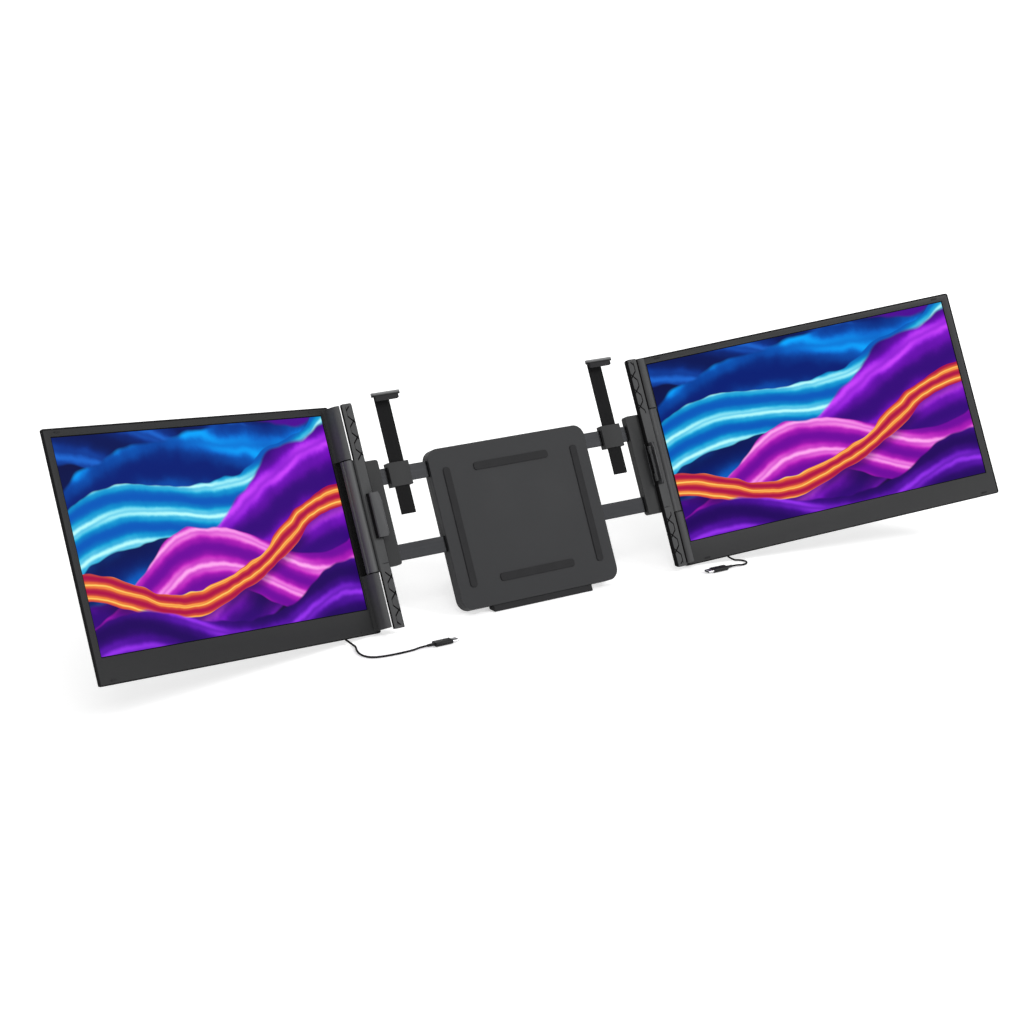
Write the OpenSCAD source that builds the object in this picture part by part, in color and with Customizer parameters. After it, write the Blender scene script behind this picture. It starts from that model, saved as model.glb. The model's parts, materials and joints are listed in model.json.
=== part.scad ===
// Laptop screen extender: two side monitors on hinged columns that grip a laptop lid.
// Everything is built in the lid's own frame (X right, Y away from the viewer, Z up along
// the lid, Y = 0 on the laptop's picture plane) and then leaned back and stood on the desk.

/* [Screens] */
// Width of the lit picture area, 15.6 inch 16:9
screen_w = 344.2; // [309:0.1:354]
// Height of the lit picture area
screen_h = 193.6; // [174:0.1:200]
// Bezel above the picture
bezel_top = 7.4; // [6:0.1:12]
// Bezel at the free side of the picture
bezel_side = 8.7; // [7:0.1:14]
// Bezel at the hinge side of the picture
bezel_hinge = 11.5; // [10:0.1:13]
// Chin below the picture
chin = 23.9; // [20:0.1:30]
// Thickness of the panel at its rim
rim_t = 4.5; // [4:0.1:6]
// How far the bezel stands proud of the glass
bezel_lip = 0.5; // [0.3:0.1:1]
// Wall thickness of the moulded covers
wall = 1.6; // [1.2:0.1:2]
// Depth of the electronics pod behind the rim
pod_t = 6.6; // [6.4:0.1:9]
// Corner radius of the panel's front outline
corner_r = 3; // [1.5:0.5:5]

/* [Hinges] */
// Fold of each monitor away from straight, as it stands in use
fold = 19.6; // [0:0.1:60]
// Half the distance between the two hinge axes
hinge_x = 185; // [180:0.5:200]
// Depth of the hinge axis behind the laptop's picture plane
hinge_y = 4.5; // [3.5:0.1:6]
// Distance from hinge axis back to the glass plane
hinge_to_glass = 11.4; // [11:0.1:14]
// Distance from hinge axis along the panel to the picture's edge
hinge_to_picture = 9.1; // [9:0.1:11]
// Radius of the hinge barrels
barrel_r = 4.5; // [4.2:0.1:4.8]
// Radius of the steel hinge shafts
shaft_r = 2; // [1.5:0.1:2.2]
// Outer radius of the friction sleeves round the shafts
sleeve_r = 3.2; // [3:0.1:3.4]
// Running clearance of pins and shafts in their bores
run_gap = 0.05; // [0.02:0.01:0.1]
// Length of a shaft inside the middle barrel
shaft_hold = 26; // [15:1:40]
// Length of a shaft inside a knuckle
shaft_run = 34; // [20:1:45]

/* [Columns] */
// Height of each column
column_h = 223.5; // [215:0.5:235]
// Width of a column's front face
column_w = 12.9; // [12:0.1:14]
// Gap between a column and the hinge barrel beside it
column_gap = 0.9; // [0.8:0.1:3]
// Thickness of a column
column_t = 5.1; // [4.5:0.1:5.5]
// Depth of a column's front face behind the laptop's picture plane
column_y = 1.9; // [1.5:0.1:2.4]
// Height of the lower seam between knuckle and middle barrel
seam_low = 57.2; // [50:0.1:65]
// Height of the upper seam between middle barrel and knuckle
seam_high = 168.5; // [165:0.1:175]
// Depth of the crossed relief grooves on the columns
relief_depth = 0.6; // [0.3:0.1:0.8]
// Width of the crossed relief grooves
relief_w = 1.1; // [0.5:0.1:1.4]

/* [Side clips] */
// Height of a clip plate
clip_h = 44.2; // [36:0.1:46]
// Width of a clip plate
clip_w = 12.2; // [11.8:0.1:12.4]
// How far a clip plate reaches outward from its pin
clip_tail = 7.4; // [7:0.1:7.5]
// Thickness of a clip plate
clip_t = 2.2; // [1.8:0.1:2.2]
// Height of the clip's middle on the column
clip_z = 111.3; // [105:0.1:118]
// Radius of the clip's steel pin
clip_pin_r = 0.6; // [0.5:0.05:0.7]

/* [Top hooks] */
// Width of a hook's cap
hook_w = 31; // [29:0.5:36]
// Width of a hook's front lip
hook_lip_w = 25.6; // [18:0.2:26]
// Distance of a hook's middle from the centre line
hook_x = 129.2; // [126:0.2:132]
// Height of the lid's top edge under the hooks
lid_top = 225.2; // [215:0.1:235]
// Thickness of the hook's cap
hook_t = 4; // [3.4:0.1:4.5]
// Width of a hook's stem
stem_w = 16; // [12:0.5:18]
// Thickness of a hook's stem
stem_t = 2.2; // [1.8:0.1:2.4]

/* [Centre bracket] */
// Width of the centre bracket
centre_w = 190; // [180:1:200]
// Height of the centre bracket's top edge
centre_top = 166; // [164:1:175]
// Corner radius of the centre bracket
centre_r = 12; // [6:1:16]
// Gap that the laptop lid takes, from picture plane to pads
lid_back = 6.2; // [5:0.1:6.4]
// Height of a slide bar
bar_h = 16; // [12:0.5:18]
// Thickness of a slide bar
bar_t = 3; // [2.5:0.1:3.2]
// Height of the lower slide bar's middle
bar_low = 72; // [70:0.5:76]
// Height of the upper slide bar's middle
bar_high = 148; // [144:0.5:150]
// Sliding clearance round bars and stems
slide_gap = 0.1; // [0.05:0.01:0.2]

/* [Kickstand] */
// Angle between the open kickstand and upright
stand_spread = 20; // [15:1:30]
// Length from the kickstand's hinge to its rubber foot
stand_len = 118; // [116:1:122]
// Width of the kickstand
stand_w = 99; // [80:1:110]
// Thickness of the kickstand's plate
stand_t = 3.2; // [2.5:0.1:3.5]
// Radius of the kickstand's steel pin
stand_pin_r = 1.5; // [1:0.1:1.8]
// Radius of the kickstand's rubber foot
foot_r = 3; // [2.5:0.1:3.2]

/* [Desk] */
// Lean of the lid back from upright
lean = 25.2; // [15:0.1:35]

/* [Cords] */
// Diameter of the USB cords
cord_d = 2; // [1.8:0.1:3]
// Distance of the cord's port from the hinge axis
port_u = 45; // [40:1:50]
// Length of a plug's moulded body at the monitor
plug_len = 19; // [16:1:20]
// Length of a plug's moulded body at the laptop end
far_plug_len = 19; // [17:1:22]
// Width of a plug's body
plug_w = 9.4; // [9:0.1:10.5]
// Thickness of a plug's body
plug_t = 4.2; // [4.2:0.1:5.4]

/* [Hidden] */
$fn = 48;
left = -1;
right = 1;
eps = 0.01;

// Panel, in a monitor's own frame: X along the panel from the hinge axis, Y back from it
panel_in = hinge_to_picture - bezel_hinge;
panel_out = hinge_to_picture + screen_w + bezel_side;
panel_h = chin + screen_h + bezel_top;
bezel_y = hinge_to_glass - bezel_lip;
rim_y = bezel_y + rim_t;
pod_y = rim_y + pod_t;
rim_bevel = 2.4;
front_bevel = 0.4;
seam_w = 0.4;
seam_depth = 0.4;
glass_t = 2.2;
glass_margin = 1.5;
glass_back = hinge_to_glass + glass_t;

// Electronics pod behind the panel
pod_x = [14, 300];
pod_z = [30, 150];
pod_slope = 5;
board_x = [24, 240];
board_z = [34, 130];
board_t = 1.6;
board_bosses = [for (x = [board_x[0] + 6, board_x[1] - 6], z = [board_z[0] + 14, board_z[1] - 16]) [x, z]];
boss_r = 2.6;
port_v = rim_y + 3.2;
socket_t = 3.4;
board_back = port_v - socket_t / 2;
socket_depth = 7.3;
socket_w = 9.2;
socket_wall = 0.4;
socket_end = 0.6;
port_step = 16;
video_w = 11.2;
vent_count = 14;
vent_step = 9;
vent_x = 110;
vent_z = [104, 128];
vent_w = 2.4;
fit_gap = 0.2;
button_r = 3.5;
button_u = [262, 278];
button_z = 48;
button_travel = 0.6;
button_proud = 0.8;
button_t = 3;
button_base = pod_y + button_proud - button_t;
dish_r = 3.2;
dish_depth = 0.6;
switch_size = 6;
switch_gap = 0.1;
switch_arm = 16;
// lowest and highest X and Z, and height, of the scaler chip, the panel socket and the coil
chips = [[110, 70, 124, 84, 1.6], [60, 66, 66, 90, 2.2], [150, 64, 172, 70, 1.2]];
cover_screw_r = 1.9;
cover_screw_t = 1;
screw_sunk = 0.1;
cover_screw_in = [12, 8, 24];
cover_screws_at = [for (x = [pod_x[0] + cover_screw_in[0], pod_x[1] - cover_screw_in[0]],
                       z = [pod_z[0] + cover_screw_in[1], pod_z[1] - cover_screw_in[2]]) [x, z]];
bumper_w = 6.5;
bumper_h = 1.6;
bumper_t = 0.5;
bumpers_at = [for (x = [hinge_to_picture + 14, panel_out - 17], z = [3.8, panel_h - 3.6]) [x, z]];

// Knuckles
knuckle_gap = 0.3;
knuckle_inset = 2.6;
knuckle_low = [knuckle_inset, seam_low - knuckle_gap];
knuckle_high = [seam_high + knuckle_gap, panel_h - knuckle_inset];
knuckle_fillet = 2.5;
knuckle_foot_y = rim_y - wall;
leaf_t = 1.6;
leaf_foot = 7;
leaf_low = [knuckle_low[1] - shaft_run - 1, knuckle_low[1]];
leaf_high = [knuckle_high[0], knuckle_high[0] + shaft_run + 1];

// Columns
column_in = hinge_x - barrel_r - column_gap - column_w;
column_out = column_in + column_w;
column_back_y = column_y + column_t;
column_edge_r = 2.5;
column_bevel = 3.5;
column_chamfer = 1.3;
column_side = 1.5;
guard_out = 5.8;
guard_front = 0.9;
guard_back = 6.2;
guard_r = 2;
cross_x = 2.8;
cross_pitch = 16.4;
cross_out = 5.2;
cross_in = 1.6;
cross_slope = 1.05;
cross_high = seam_high + 4.3;
cross_low = seam_low - 7;
cross_count = 3;
relief_end = 3;
seam_mark_z = seam_low + 6.6;
seam_mark = [1.5, 9];

// Clips: the pin stands just in front of the column's inner edge, and a skirt closes the
// recess that the clip's outer half swings into
clip_pin_x = column_in + 0.4;
clip_pin_y = 0.4;
clip_front = -3.6;
clip_back = clip_front + clip_t;
clip_out = clip_pin_x + clip_tail;
clip_in = clip_out - clip_w;
clip_bevel = 1;
clip_edge = [1.2, 1];
clip_corner = [2.4, 6.8];
clip_skirt_t = 1;
clip_skirt_y = column_y - fit_gap;
clip_lug = 8;
clip_lug_inset = 3.5;
clip_knuckle_r = 1.4;
clip_swing_gap = 0.3;
clip_depth = clip_pin_y - clip_front;
clip_swing = clip_swing_gap
    + max(norm([clip_tail, clip_depth - clip_bevel]), norm([clip_tail - clip_bevel, clip_depth]));
clip_skirt_swing = 1.9;
clip_slot_y = column_y + 1.6;
clip_low = clip_z - clip_h / 2;
clip_high = clip_z + clip_h / 2;
clip_lug_low = clip_low + clip_lug_inset;
clip_lug_high = clip_high - clip_lug_inset;
clip_pad_t = 1.1;
clip_pad_sunk = 0.5;
clip_pad_x = [clip_in + 0.8, clip_pin_x - clip_knuckle_r - 0.4];
clip_pad_z = [clip_low + 4, clip_high - 8];

// Bracket depth stack, from the lid pads back
pad_t = 1;
front_y = lid_back + pad_t;
cavity_y = front_y + wall;
bar_y = cavity_y + 1.6;
bar_back_y = bar_y + bar_t;
bars_at = [bar_low, bar_high];
shell_y = bar_back_y + 3.6;
centre_back_y = shell_y + wall;
stem_y = bar_y - stem_t - 0.3;
bar_in = 22;
bar_out = column_out - column_bevel - 1;
mount_in = column_in - 16;
mount_low = seam_low + 3;
mount_high = seam_high - 3;
mount_back_y = bar_back_y + 1.4;
mount_r = 3;
mount_screws_x = [mount_in + 6, column_in + 3];
rail_back_y = bar_back_y + 1.2;
rail_wall = 3;
centre_low = 2.5;
strip_w = 8;
strip_r = 3;
strip_inset = 14;
strips_z = [24, centre_top - 20];
cross_strip_half = 45;
screw_head_r = 2.4;
screw_head_t = 1.2;
bracket_screws_at = [[-80, 18], [80, 18], [-80, 110], [80, 110], [-30, 110], [30, 110]];
post_r = 3.4;
desk_foot_half = 60;

// Hooks
hook_lip_y = -3.3;
hook_lip_t = 1.4;
hook_lip_drop = 4.6;
hook_lip_r = 1.5;
hook_pad_t = 0.7;
hook_bar_t = 5.5;
hook_round = 1.4;
hook_nose = 2.2;
guide_half = bar_h / 2 + 4;
guide_low = bar_high - guide_half;
guide_high = bar_high + guide_half;
guide_w = stem_w + 8;
guide_wall = 1.2;
guide_back = 1.4;
stem_reach = 40;
stem_low = bar_high - stem_reach;

// Kickstand
stand_y = centre_back_y + foot_r + 0.4;
stand_barrel_r = stand_y - centre_back_y - 0.2;
stand_lug_w = 6;
stand_lug_x = stand_w / 2 + 0.3;
stand_taper = 12;
stand_shoulder = 20;
stand_notch_r = 9;
stand_notch_half = stand_notch_r + 0.5;

// Desk: the panels' lower hinge-side edges are the lowest points of the monitors
low_y = hinge_y - panel_in * sin(fold) + (rim_y - rim_bevel) * cos(fold);
desk_drop = low_y * sin(lean);
stand_axis_h = foot_r + stand_len * cos(stand_spread);
stand_z = (stand_axis_h - desk_drop + stand_y * sin(lean)) / cos(lean);
stand_open = lean + stand_spread;
front_reach = (hinge_y - panel_out * sin(fold) + bezel_y * cos(fold)) * cos(lean);
back_reach = (hinge_y - panel_in * sin(fold) + rim_y * cos(fold)) * cos(lean) + panel_h * sin(lean);
origin_y = (front_reach + back_reach) / 2;

// Cord routes on the desk, chosen by hand, from the monitor's plug to the laptop plug
cord_r = cord_d / 2;
relief_len = 7;
relief_r = plug_t / 2 - 0.1;
relief_tip = 0.3;
far_relief_len = 8;
plug_round = 1.6;
tongue = [8.2, 2.4];
tongue_len = 6.5;
tongue_in = 6.2;
plug_seat = 0.2;
plug_end_z = pod_z[0] - plug_len - relief_len;
plug_end = [hinge_x + port_u * cos(fold) + port_v * sin(fold),
            hinge_y - port_u * sin(fold) + port_v * cos(fold)];
down = [0, -sin(lean), -cos(lean)];
far_z = plug_t / 2;
left_far = [-163.5, -53];
right_far = [217, -23.5];
left_route = [
    [-233.6, -3.6, 4.9], [-233.6, -6.2, 2.6], [-233.6, -9.6, 1], [-233.6, -14, 1],
    [-233.7, -19, 1], [-233.9, -24, 1], [-234.2, -29, 1], [-234.4, -34, 1],
    [-234.2, -39, 1], [-233, -43.6, 1], [-230.4, -47.4, 1], [-226.6, -50, 1],
    [-221.6, -51.6, 1], [-216, -52.6, 1], [-210, -53.2, 1], [-204, -53.5, 1],
    [-198, -53.6, 1], [-192, -53.5, 1], [-186, -53.3, 1.2], [-179.5, -53.1, 1.9]
];
right_route = [
    [233.7, -3.6, 4.9], [234.4, -5.9, 2.7], [236.4, -8.1, 1.1], [239, -10.1, 1],
    [241.6, -12, 1], [244, -13.7, 1], [246.2, -15.8, 1], [247.6, -18.5, 1],
    [247.5, -21.5, 1], [246, -24, 1], [243.4, -25.6, 1], [240.2, -25.8, 1],
    [236.6, -25.2, 1.2], [232.6, -24.2, 1.9]
];

// ---------- placing ----------

// From the lid's frame to the desk
module placed() {
    translate([0, -origin_y, desk_drop]) rotate([-lean, 0, 0]) children();
}

// Pieces drawn for the right side, mirrored for the left
module on_side(side) {
    mirror([side < 0 ? 1 : 0, 0, 0]) children();
}

// From a monitor's own frame to the lid's frame
module in_monitor(side) {
    placed() on_side(side) translate([hinge_x, hinge_y, 0]) rotate([0, 0, -fold]) children();
}

module in_lid(side) {
    placed() on_side(side) children();
}

// ---------- shared shapes ----------

// A box from its lowest to its highest corner
module block(low, high) {
    translate(low) cube(high - low);
}

// Rounded rectangle from corner to corner
module round_rect(low, high, r) {
    translate([low[0] + r, low[1]]) square([high[0] - low[0] - 2 * r, high[1] - low[1]]);
    translate([low[0], low[1] + r]) square([high[0] - low[0], high[1] - low[1] - 2 * r]);
    for (x = [low[0] + r, high[0] - r], y = [low[1] + r, high[1] - r]) {
        translate([x, y]) circle(r);
    }
}

// A plate that stands in the XZ plane, from depth y0 to depth y1
module standing(y0, y1) {
    translate([0, y1, 0]) rotate([90, 0, 0]) linear_extrude(y1 - y0) children();
}

// An XY profile drawn up from z0 to z1
module upright(z0, z1) {
    translate([0, 0, z0]) linear_extrude(z1 - z0) children();
}

// A YZ profile drawn along X from x0 to x1
module across(x0, x1) {
    translate([x0, 0, 0]) rotate([90, 0, 90]) linear_extrude(x1 - x0) children();
}

// ---------- monitor ----------

// Outer form of the panel with its bevelled edges
module panel_form() {
    intersection() {
        standing(bezel_y, rim_y) round_rect([panel_in, 0], [panel_out, panel_h], corner_r);
        upright(-eps, panel_h + eps) polygon([
            [panel_in, bezel_y + front_bevel], [panel_in + front_bevel, bezel_y],
            [panel_out - front_bevel, bezel_y], [panel_out, bezel_y + front_bevel],
            [panel_out, rim_y - rim_bevel], [panel_out - rim_bevel, rim_y], [panel_in, rim_y]
        ]);
        across(panel_in - eps, panel_out + eps) polygon([
            [bezel_y, front_bevel], [bezel_y + front_bevel, 0],
            [rim_y - rim_bevel, 0], [rim_y, rim_bevel],
            [rim_y, panel_h - rim_bevel], [rim_y - rim_bevel, panel_h],
            [bezel_y + front_bevel, panel_h], [bezel_y, panel_h - front_bevel]
        ]);
    }
}

// Thin groove round the panel where the bezel meets the back cover
module seam_groove() {
    standing(bezel_y + wall - eps, bezel_y + wall + seam_w) difference() {
        translate([panel_in - 1, -1]) square([panel_out - panel_in + 2, panel_h + 2]);
        round_rect([panel_in + seam_depth, seam_depth], [panel_out - seam_depth, panel_h - seam_depth],
                   corner_r - seam_depth);
    }
}

// Room for the two knuckles' walls in the bezel and cover
module knuckle_room(gap) {
    for (span = [knuckle_low, knuckle_high]) {
        block([panel_in - 9, bezel_y - 1, span[0] - gap],
              [barrel_r + knuckle_fillet + gap, knuckle_foot_y, span[1] + gap]);
    }
}

module bezel(side) {
    color("dimgray") in_monitor(side) difference() {
        intersection() {
            panel_form();
            block([panel_in, bezel_y, 0], [panel_out, bezel_y + wall, panel_h]);
        }
        block([hinge_to_picture, bezel_y - 1, chin],
              [hinge_to_picture + screen_w, rim_y, chin + screen_h]);
        // rebate that the glass sits in
        block([hinge_to_picture - glass_margin, hinge_to_glass, chin - glass_margin],
              [hinge_to_picture + screen_w + glass_margin, rim_y, chin + screen_h + glass_margin]);
        knuckle_room(0);
    }
}

module screen(side) {
    color("midnightblue") in_monitor(side)
        block([hinge_to_picture - glass_margin, hinge_to_glass, chin - glass_margin],
              [hinge_to_picture + screen_w + glass_margin, glass_back, chin + screen_h + glass_margin]);
}

// Outer form of the pod, with sloped sides and top; its lower face carries the ports
module pod_form(inset) {
    back = pod_y - inset;
    intersection() {
        upright(pod_z[0] + inset, pod_z[1]) polygon([
            [pod_x[0] + inset, rim_y - wall], [pod_x[0] + inset, rim_y],
            [pod_x[0] + pod_slope, back], [pod_x[1] - pod_slope, back],
            [pod_x[1] - inset, rim_y], [pod_x[1] - inset, rim_y - wall]
        ]);
        across(pod_x[0], pod_x[1]) polygon([
            [rim_y - wall, pod_z[0] + inset], [back, pod_z[0] + inset],
            [back, pod_z[1] - inset - 3 * pod_slope], [rim_y, pod_z[1] - inset],
            [rim_y - wall, pod_z[1] - inset]
        ]);
    }
}

module button_holes(gap) {
    for (u = button_u) {
        translate([u, pod_y + 2, button_z]) rotate([90, 0, 0])
            cylinder(h = wall + 4, r = button_r + gap);
    }
}

module port_holes(gap) {
    for (i = [0, 1]) {
        block([port_u + i * port_step - socket_w / 2 - gap, port_v - socket_t / 2 - gap, pod_z[0] - 1],
              [port_u + i * port_step + socket_w / 2 + gap, port_v + socket_t / 2 + gap, pod_z[0] + wall + 1]);
    }
    block([port_u + 2 * port_step - video_w / 2 - gap, port_v - socket_t / 2 - gap, pod_z[0] - 1],
          [port_u + 2 * port_step + video_w / 2 + gap, port_v + socket_t / 2 + gap, pod_z[0] + wall + 1]);
}

module back_cover(side) {
    color("#3a3b3c") in_monitor(side) difference() {
        union() {
            difference() {
                union() {
                    intersection() {
                        panel_form();
                        block([panel_in, bezel_y + wall, 0], [panel_out, rim_y, panel_h]);
                    }
                    pod_form(0);
                }
                // room for the glass and the frame's rebate
                block([hinge_to_picture - glass_margin - fit_gap, bezel_y, chin - glass_margin - fit_gap],
                      [panel_out - wall - rim_bevel, glass_back, panel_h - wall - rim_bevel]);
                // hollow of the pod, open to the glass
                difference() {
                    pod_form(wall);
                    block([0, 0, 0], [panel_out, glass_back + eps, panel_h]);
                }
                block([pod_x[0] + wall, glass_back - eps, pod_z[0] + wall],
                      [pod_x[1] - wall, rim_y - wall + 1, pod_z[1] - wall - 2]);
            }
            for (at = board_bosses) {
                translate([at[0], pod_y - wall / 2, at[1]]) rotate([90, 0, 0])
                    cylinder(h = pod_y - wall / 2 - board_back, r = boss_r);
            }
        }
        seam_groove();
        knuckle_room(0);
        button_holes(fit_gap);
        port_holes(fit_gap);
        for (at = cover_screws_at) {
            translate([at[0], pod_y + 1, at[1]]) rotate([90, 0, 0])
                cylinder(h = cover_screw_t + 1, r = cover_screw_r);
        }
        for (i = [0 : vent_count - 1]) {
            block([vent_x + i * vent_step, pod_y - wall - 1, vent_z[0]],
                  [vent_x + i * vent_step + vent_w, pod_y + 1, vent_z[1]]);
        }
    }
}

module driver_board(side) {
    color("darkgreen") in_monitor(side) {
        block([board_x[0], board_back - board_t, board_z[0]], [board_x[1], board_back, board_z[1]]);
        for (chip = chips) {
            block([chip[0], board_back, chip[1]], [chip[2], board_back + chip[4], chip[3]]);
        }
        // arm that carries the two switches
        block([board_x[1] - eps, board_back - board_t, button_z - switch_arm / 2],
              [button_u[1] + switch_arm / 2, board_back, button_z + switch_arm / 2]);
        for (u = button_u) {
            block([u - switch_size / 2, board_back, button_z - switch_size / 2],
                  [u + switch_size / 2, button_base - button_travel - switch_gap, button_z + switch_size / 2]);
        }
    }
}

module socket(u, w) {
    difference() {
        block([u - w / 2, port_v - socket_t / 2, pod_z[0]],
              [u + w / 2, port_v + socket_t / 2, pod_z[0] + socket_depth]);
        block([u - w / 2 + socket_wall, port_v - socket_t / 2 + socket_wall, pod_z[0] - 1],
              [u + w / 2 - socket_wall, port_v + socket_t / 2 - socket_wall,
               pod_z[0] + socket_depth - socket_end]);
    }
}

module ports(side) {
    color("silver") in_monitor(side) {
        socket(port_u, socket_w);
        socket(port_u + port_step, socket_w);
        socket(port_u + 2 * port_step, video_w);
    }
}

module button(side, index) {
    color("#2a2a2b") in_monitor(side) translate([button_u[index], button_base + button_t, button_z])
        rotate([90, 0, 0]) difference() {
            cylinder(h = button_t, r = button_r);
            translate([0, 0, dish_depth - dish_r]) sphere(r = dish_r);
        }
}

module bumpers(side) {
    half = [bumper_w, bumper_h] / 2;
    color("#222222") in_monitor(side) for (at = bumpers_at) {
        standing(bezel_y - bumper_t, bezel_y) round_rect(at - half, at + half, bumper_h / 2 - eps);
    }
}

// A screw head with a cross recess, from its face down to its seat
module screw_head(r, h) {
    rotate([90, 0, 0]) difference() {
        cylinder(h = h, r = r);
        for (turn = [0, 90]) {
            rotate([0, 0, turn]) cube([1.2 * r, 0.3 * r, h], center = true);
        }
    }
}

module cover_screws(side) {
    color("gray") in_monitor(side) for (at = cover_screws_at) {
        translate([at[0], pod_y - screw_sunk, at[1]]) screw_head(cover_screw_r, cover_screw_t - screw_sunk);
    }
}

// ---------- hinges ----------

// Section of a knuckle: round barrel on a wall that flows into the bezel
module knuckle_section() {
    foot = barrel_r + knuckle_fillet;
    circle(barrel_r);
    translate([-barrel_r, 0]) square([2 * barrel_r, knuckle_foot_y]);
    difference() {
        translate([0, bezel_y - knuckle_fillet]) square([foot, knuckle_fillet + wall]);
        translate([foot, bezel_y - knuckle_fillet]) circle(knuckle_fillet);
    }
}

// Friction leaf: sleeve, web and foot
module leaf_form(span) {
    upright(span[0], span[1]) {
        circle(sleeve_r);
        translate([-leaf_t / 2, 0]) square([leaf_t, knuckle_foot_y]);
        translate([-leaf_foot / 2, knuckle_foot_y - leaf_t]) square([leaf_foot, leaf_t]);
    }
}

module knuckles(side) {
    color("#57585a") in_monitor(side) difference() {
        union() {
            upright(knuckle_low[0], knuckle_low[1]) knuckle_section();
            upright(knuckle_high[0], knuckle_high[1]) knuckle_section();
        }
        leaf_form(leaf_low);
        leaf_form(leaf_high);
    }
}

module hinge_leaves(side) {
    color("lightsteelblue") in_monitor(side) difference() {
        union() {
            leaf_form(leaf_low);
            leaf_form(leaf_high);
        }
        translate([0, 0, leaf_low[0] + 1]) cylinder(h = shaft_run + 1, r = shaft_r + run_gap);
        translate([0, 0, leaf_high[0] - 1]) cylinder(h = shaft_run + 1, r = shaft_r + run_gap);
    }
}

module hinge_shafts(side) {
    color("gainsboro") in_lid(side) translate([hinge_x, hinge_y, 0]) {
        translate([0, 0, seam_low - shaft_run]) cylinder(h = shaft_run + shaft_hold, r = shaft_r);
        translate([0, 0, seam_high - shaft_hold]) cylinder(h = shaft_run + shaft_hold, r = shaft_r);
    }
}

// ---------- column ----------

// Section of the column bar: flat front, outer back edge cut away so the knuckle clears it
module column_section() {
    polygon([
        [column_in, column_y + column_chamfer], [column_in + column_chamfer, column_y],
        [column_out - column_chamfer, column_y], [column_out, column_y + column_chamfer],
        [column_out, column_y + column_side],
        [column_out - column_bevel, column_back_y], [column_in, column_back_y]
    ]);
}

// Section of the middle barrel with the guard that closes the gap behind it
module middle_section() {
    guard_in = column_out - column_bevel - hinge_x;
    translate([hinge_x, hinge_y]) {
        circle(barrel_r);
        translate([guard_in, guard_front]) square([guard_out - guard_r - guard_in, guard_back - guard_front]);
        translate([0, guard_front]) square([guard_out, guard_back - guard_r - guard_front]);
        translate([guard_out - guard_r, guard_back - guard_r]) circle(guard_r);
    }
}

// One crossed groove pair, its long arms reaching outward
module relief_cross(z) {
    centre = column_in + cross_x;
    rise = cross_out * cross_slope;
    drop = cross_in * cross_slope;
    for (up = [-1, 1]) {
        polygon([
            [centre - cross_in, z - up * drop - relief_w / 2],
            [centre - cross_in, z - up * drop + relief_w / 2],
            [centre + cross_out, z + up * rise + relief_w / 2],
            [centre + cross_out, z + up * rise - relief_w / 2]
        ]);
    }
}

// Straight groove that carries the long arms on to the next cross
module relief_line(z0, z1) {
    translate([column_in + cross_x + cross_out - relief_w / 2, z0]) square([relief_w / 2, z1 - z0]);
}

module relief() {
    reach = cross_out * cross_slope;
    standing(column_y - 1, column_y + relief_depth) {
        for (i = [0 : cross_count - 1]) {
            last = i == cross_count - 1;
            high = cross_high + i * cross_pitch;
            low = cross_low - i * cross_pitch;
            relief_cross(high);
            relief_line(high + reach, last ? column_h - relief_end : high + cross_pitch - reach);
            relief_cross(low);
            relief_line(last ? relief_end : low - cross_pitch + reach, low - reach);
        }
        translate([column_in + seam_mark[0], seam_mark_z])
            square([seam_mark[1] - seam_mark[0], relief_w / 2]);
    }
}

// Recess that the clip's outer half and its skirt swing into
module clip_notch() {
    low = clip_low - fit_gap;
    high = clip_high + fit_gap;
    intersection() {
        translate([clip_pin_x, clip_pin_y, low]) cylinder(h = high - low, r = clip_swing);
        union() {
            block([clip_pin_x + clip_knuckle_r, -5, low], [column_out, 20, high]);
            block([clip_pin_x - clip_skirt_swing, clip_pin_y + clip_tail - clip_skirt_t - clip_swing_gap, low],
                  [column_out, 20, high]);
        }
    }
}

module column(side) {
    color("#626466") in_lid(side) difference() {
        union() {
            difference() {
                intersection() {
                    upright(0, column_h) column_section();
                    standing(0, 20) round_rect([column_in, -20], [column_out, column_h], column_edge_r);
                }
                // lower end is cut level with the desk
                translate([column_in - 1, column_y, 0]) rotate([lean, 0, 0])
                    block([0, -5, -10], [column_w + 2, 15, 0]);
                // slot down the inner edge that the clip's lugs stand in
                block([column_in - 1, -5, clip_low - fit_gap],
                      [clip_pin_x + clip_knuckle_r, clip_slot_y, clip_high + fit_gap]);
            }
            upright(seam_low, seam_high) middle_section();
            // lugs that carry the clip's pin
            for (z = [clip_lug_low, clip_lug_high - clip_lug]) {
                upright(z, z + clip_lug) {
                    translate([clip_pin_x, clip_pin_y]) circle(clip_knuckle_r);
                    translate([clip_pin_x - clip_knuckle_r, clip_pin_y])
                        square([2 * clip_knuckle_r, clip_slot_y - clip_pin_y + 1]);
                }
            }
        }
        relief();
        clip_notch();
        translate([clip_pin_x, clip_pin_y, clip_low]) cylinder(h = clip_h, r = clip_pin_r);
        translate([hinge_x, hinge_y, seam_low - 1]) cylinder(h = shaft_hold + 1, r = shaft_r);
        translate([hinge_x, hinge_y, seam_high - shaft_hold]) cylinder(h = shaft_hold + 1, r = shaft_r);
    }
}

module column_back(side) {
    color("#3f4042") in_lid(side) difference() {
        standing(column_back_y, mount_back_y)
            round_rect([mount_in, mount_low], [column_out - column_bevel, mount_high], mount_r);
        clip_notch();
        for (z = bars_at) {
            block([mount_in - 1, bar_y, z - bar_h / 2], [bar_out, bar_back_y, z + bar_h / 2]);
            for (x = mount_screws_x) {
                translate([x, mount_back_y + 1, z]) rotate([90, 0, 0])
                    cylinder(h = screw_head_t + 1, r = screw_head_r);
            }
        }
    }
}

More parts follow.
